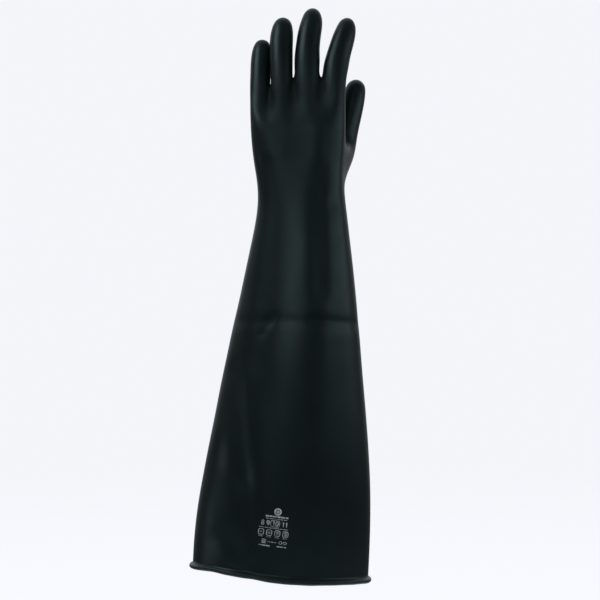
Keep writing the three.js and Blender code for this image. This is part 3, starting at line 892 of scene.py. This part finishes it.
ink, nodes, links, shader = new_material("pale_ink")
place = nodes.new("ShaderNodeTexCoord")
coverage = noise_node(nodes, links, place, 5, 4)
specks = noise_node(nodes, links, place, 0.5, 2)
stops = [(0.35, INK_THIN), (0.6, INK_FULL)]
links.new(colour_ramp(nodes, links, coverage.outputs["Fac"], stops), shader.inputs["Base Color"])
links.new(bump_chain(nodes, links, [(specks.outputs["Fac"], 0.03, 0.5)]), shader.inputs["Normal"])
ink_roughness = math_node(nodes, links, "MULTIPLY", coverage.outputs["Fac"], INK_ROUGHNESS_SPAN)
links.new(math_node(nodes, links, "ADD", ink_roughness, INK_ROUGHNESS), shader.inputs["Roughness"])
size_print.data.materials.append(ink)
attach(size_print, "root")
print("ink from", INK_THIN, "to", INK_FULL)

# %% [markdown]
# Black rubber shows little but what it mirrors, so the lights' places decide where its
# bands of shine run. One lamp overhead would leave it flat. A small bright softbox just
# left of the camera draws the band down the middle of the sleeve and the hand. A large one
# high on the left suits the fingers, which lean away and mirror what is above. One low on
# the left lights the swell by the cuff, one on the right lights the thumb's side, and four
# dimmer fills soften the edges of the bands. All eight are hidden from the camera, so that
# no view shows a bright panel in the air.

# %% Light the studio
Softbox = namedtuple("Softbox", "name azimuth elevation distance width height radiance")
SOFTBOXES = [
    Softbox("front_softbox", -7, 17, 2.2, 0.40, 0.48, 4.1),
    Softbox("front_left_fill", -44, 11, 2.0, 1.0, 0.6, 0.18),
    Softbox("front_right_fill", 30, 20, 2.0, 1.4, 0.45, 0.08),
    Softbox("high_left_softbox", -58, 42, 2.0, 1.1, 0.62, 3.1),
    Softbox("low_left_softbox", -80, -12, 2.0, 0.6, 0.45, 1.6),
    Softbox("left_fill", -100, 17, 2.0, 0.9, 0.5, 0.30),
    Softbox("right_softbox", 68, 13, 1.8, 2.0, 0.5, 1.1),
    Softbox("low_right_fill", 92, 4, 1.8, 1.2, 0.45, 0.30),
]
AIM = Vector((0.02, 0.0, 0.29))  # metres, the middle of the glove


def softbox(row):
    """A rectangular light at an azimuth counted from the camera's side towards the right."""
    data = bpy.data.lights.new(row.name, "AREA")
    data.shape = "RECTANGLE"
    data.size = row.width
    data.size_y = row.height
    data.energy = row.radiance * math.pi * row.width * row.height
    light = bpy.data.objects.new(row.name, data)
    bpy.context.scene.collection.objects.link(light)
    azimuth, elevation = math.radians(row.azimuth), math.radians(row.elevation)
    level = math.cos(elevation)
    direction = Vector((math.sin(azimuth) * level, -math.cos(azimuth) * level, math.sin(elevation)))
    light.location = AIM + row.distance * direction
    light.rotation_mode = "QUATERNION"
    light.rotation_quaternion = direction.to_track_quat("Z", "Y")
    light.visible_camera = False
    return light


for row in SOFTBOXES:
    softbox(row)
print(len(SOFTBOXES), "softboxes")

# %% [markdown]
# The world is the white room. The camera sees it pale and even, but the rubber must not
# mirror white from all sides, or it would look grey. A real studio solves this with black
# flags. Here the world is pale to the camera and dim to everything else, but for the
# backdrop behind the glove, which puts the thin bright line on its outline.

# %% Paint the white room
ROOM_WHITE = (0.905, 0.915, 0.955)
ROOM_DIM = 0.06
BACKDROP_GLOW = 0.8
BACKDROP_EDGE = (0.55, 1.2)      # how far up and behind the glove the glow starts and is full

world = bpy.data.worlds.new("studio")
bpy.context.scene.world = world
world.use_nodes = True
nodes, links = world.node_tree.nodes, world.node_tree.links
nodes.clear()
towards = nodes.new("ShaderNodeTexCoord")
parts = nodes.new("ShaderNodeSeparateXYZ")
links.new(towards.outputs["Generated"], parts.inputs[0])
behind = nodes.new("ShaderNodeMapRange")
behind.inputs["From Min"].default_value = BACKDROP_EDGE[0]
behind.inputs["From Max"].default_value = BACKDROP_EDGE[1]
behind.inputs["To Min"].default_value = ROOM_DIM
behind.inputs["To Max"].default_value = BACKDROP_GLOW
up_and_behind = math_node(nodes, links, "ADD", parts.outputs["Y"], parts.outputs["Z"])
links.new(up_and_behind, behind.inputs["Value"])

seen = nodes.new("ShaderNodeBackground")
seen.inputs["Color"].default_value = (*ROOM_WHITE, 1)
mirrored = nodes.new("ShaderNodeBackground")
mirrored.inputs["Color"].default_value = (*ROOM_WHITE, 1)
links.new(behind.outputs["Result"], mirrored.inputs["Strength"])
path = nodes.new("ShaderNodeLightPath")
chosen = nodes.new("ShaderNodeMixShader")
links.new(path.outputs["Is Camera Ray"], chosen.inputs["Fac"])
links.new(mirrored.outputs[0], chosen.inputs[1])
links.new(seen.outputs[0], chosen.inputs[2])
output = nodes.new("ShaderNodeOutputWorld")
links.new(chosen.outputs[0], output.inputs["Surface"])
bpy.context.scene.view_settings.view_transform = "Standard"
print("room", ROOM_WHITE)

# %% [markdown]
# A pale floor lies below the cuff. A hard-edged plane would draw a horizon across the
# picture, so this one is a wide disc that fades out into the room. A floor that is white to
# everything would also shine back from the rubber, so only the camera sees it fully white.
# For the rubber just the patch nearest the glove is lit.

# %% Lay the floor
FLOOR_Z = -0.16
FLOOR_RADIUS = 3.0
FLOOR_FADE = (0.9, 2.6)          # metres from the middle where the floor starts to fade
FLOOR_GLOW = (0.2, 0.6)          # where the lit patch under the glove starts to fall off
FLOOR_SIDES = 64
FLOOR_COLOUR = (0.2, 0.2, 0.21)
FLOOR_BRIGHTNESS = 0.93

angles = np.arange(FLOOR_SIDES) * TURN / FLOOR_SIDES
floor_points = np.column_stack((np.cos(angles), np.sin(angles), np.zeros(FLOOR_SIDES)))
floor = mesh_object("studio_floor", floor_points * FLOOR_RADIUS / MM, [range(FLOOR_SIDES)])
floor.location = (0, 0, FLOOR_Z)
card, nodes, links, pale = new_material("pale_floor")
pale.inputs["Base Color"].default_value = (*FLOOR_COLOUR, 1)
pale.inputs["Roughness"].default_value = 0.9
pale.inputs["Specular IOR Level"].default_value = 0.1
pale.inputs["Emission Color"].default_value = (*ROOM_WHITE, 1)
pale.inputs["Emission Strength"].default_value = FLOOR_BRIGHTNESS
paper = nodes.new("ShaderNodeEmission")
paper.inputs["Color"].default_value = (*ROOM_WHITE, 1)
clear = nodes.new("ShaderNodeBsdfTransparent")

place = nodes.new("ShaderNodeTexCoord")
length = nodes.new("ShaderNodeVectorMath")
length.operation = "LENGTH"
links.new(place.outputs["Object"], length.inputs[0])
fade = nodes.new("ShaderNodeMapRange")
fade.interpolation_type = "SMOOTHSTEP"
fade.inputs["From Min"].default_value = FLOOR_FADE[0]
fade.inputs["From Max"].default_value = FLOOR_FADE[1]
links.new(length.outputs["Value"], fade.inputs["Value"])
glow = nodes.new("ShaderNodeMapRange")
glow.interpolation_type = "SMOOTHSTEP"
glow.inputs["From Min"].default_value = FLOOR_GLOW[0]
glow.inputs["From Max"].default_value = FLOOR_GLOW[1]
glow.inputs["To Min"].default_value = BACKDROP_GLOW
glow.inputs["To Max"].default_value = ROOM_DIM
links.new(length.outputs["Value"], glow.inputs["Value"])
links.new(glow.outputs["Result"], paper.inputs["Strength"])
side = nodes.new("ShaderNodeNewGeometry")
away = math_node(nodes, links, "MAXIMUM", fade.outputs["Result"], side.outputs["Backfacing"])

path = nodes.new("ShaderNodeLightPath")
by_ray = nodes.new("ShaderNodeMixShader")
links.new(path.outputs["Is Camera Ray"], by_ray.inputs["Fac"])
links.new(paper.outputs[0], by_ray.inputs[1])
links.new(pale.outputs[0], by_ray.inputs[2])
shown = nodes.new("ShaderNodeMixShader")
links.new(away, shown.inputs["Fac"])
links.new(by_ray.outputs[0], shown.inputs[1])
links.new(clear.outputs[0], shown.inputs[2])
links.new(shown.outputs[0], nodes["Material Output"].inputs["Surface"])
floor.data.materials.append(card)
print("floor at", FLOOR_Z, "m")
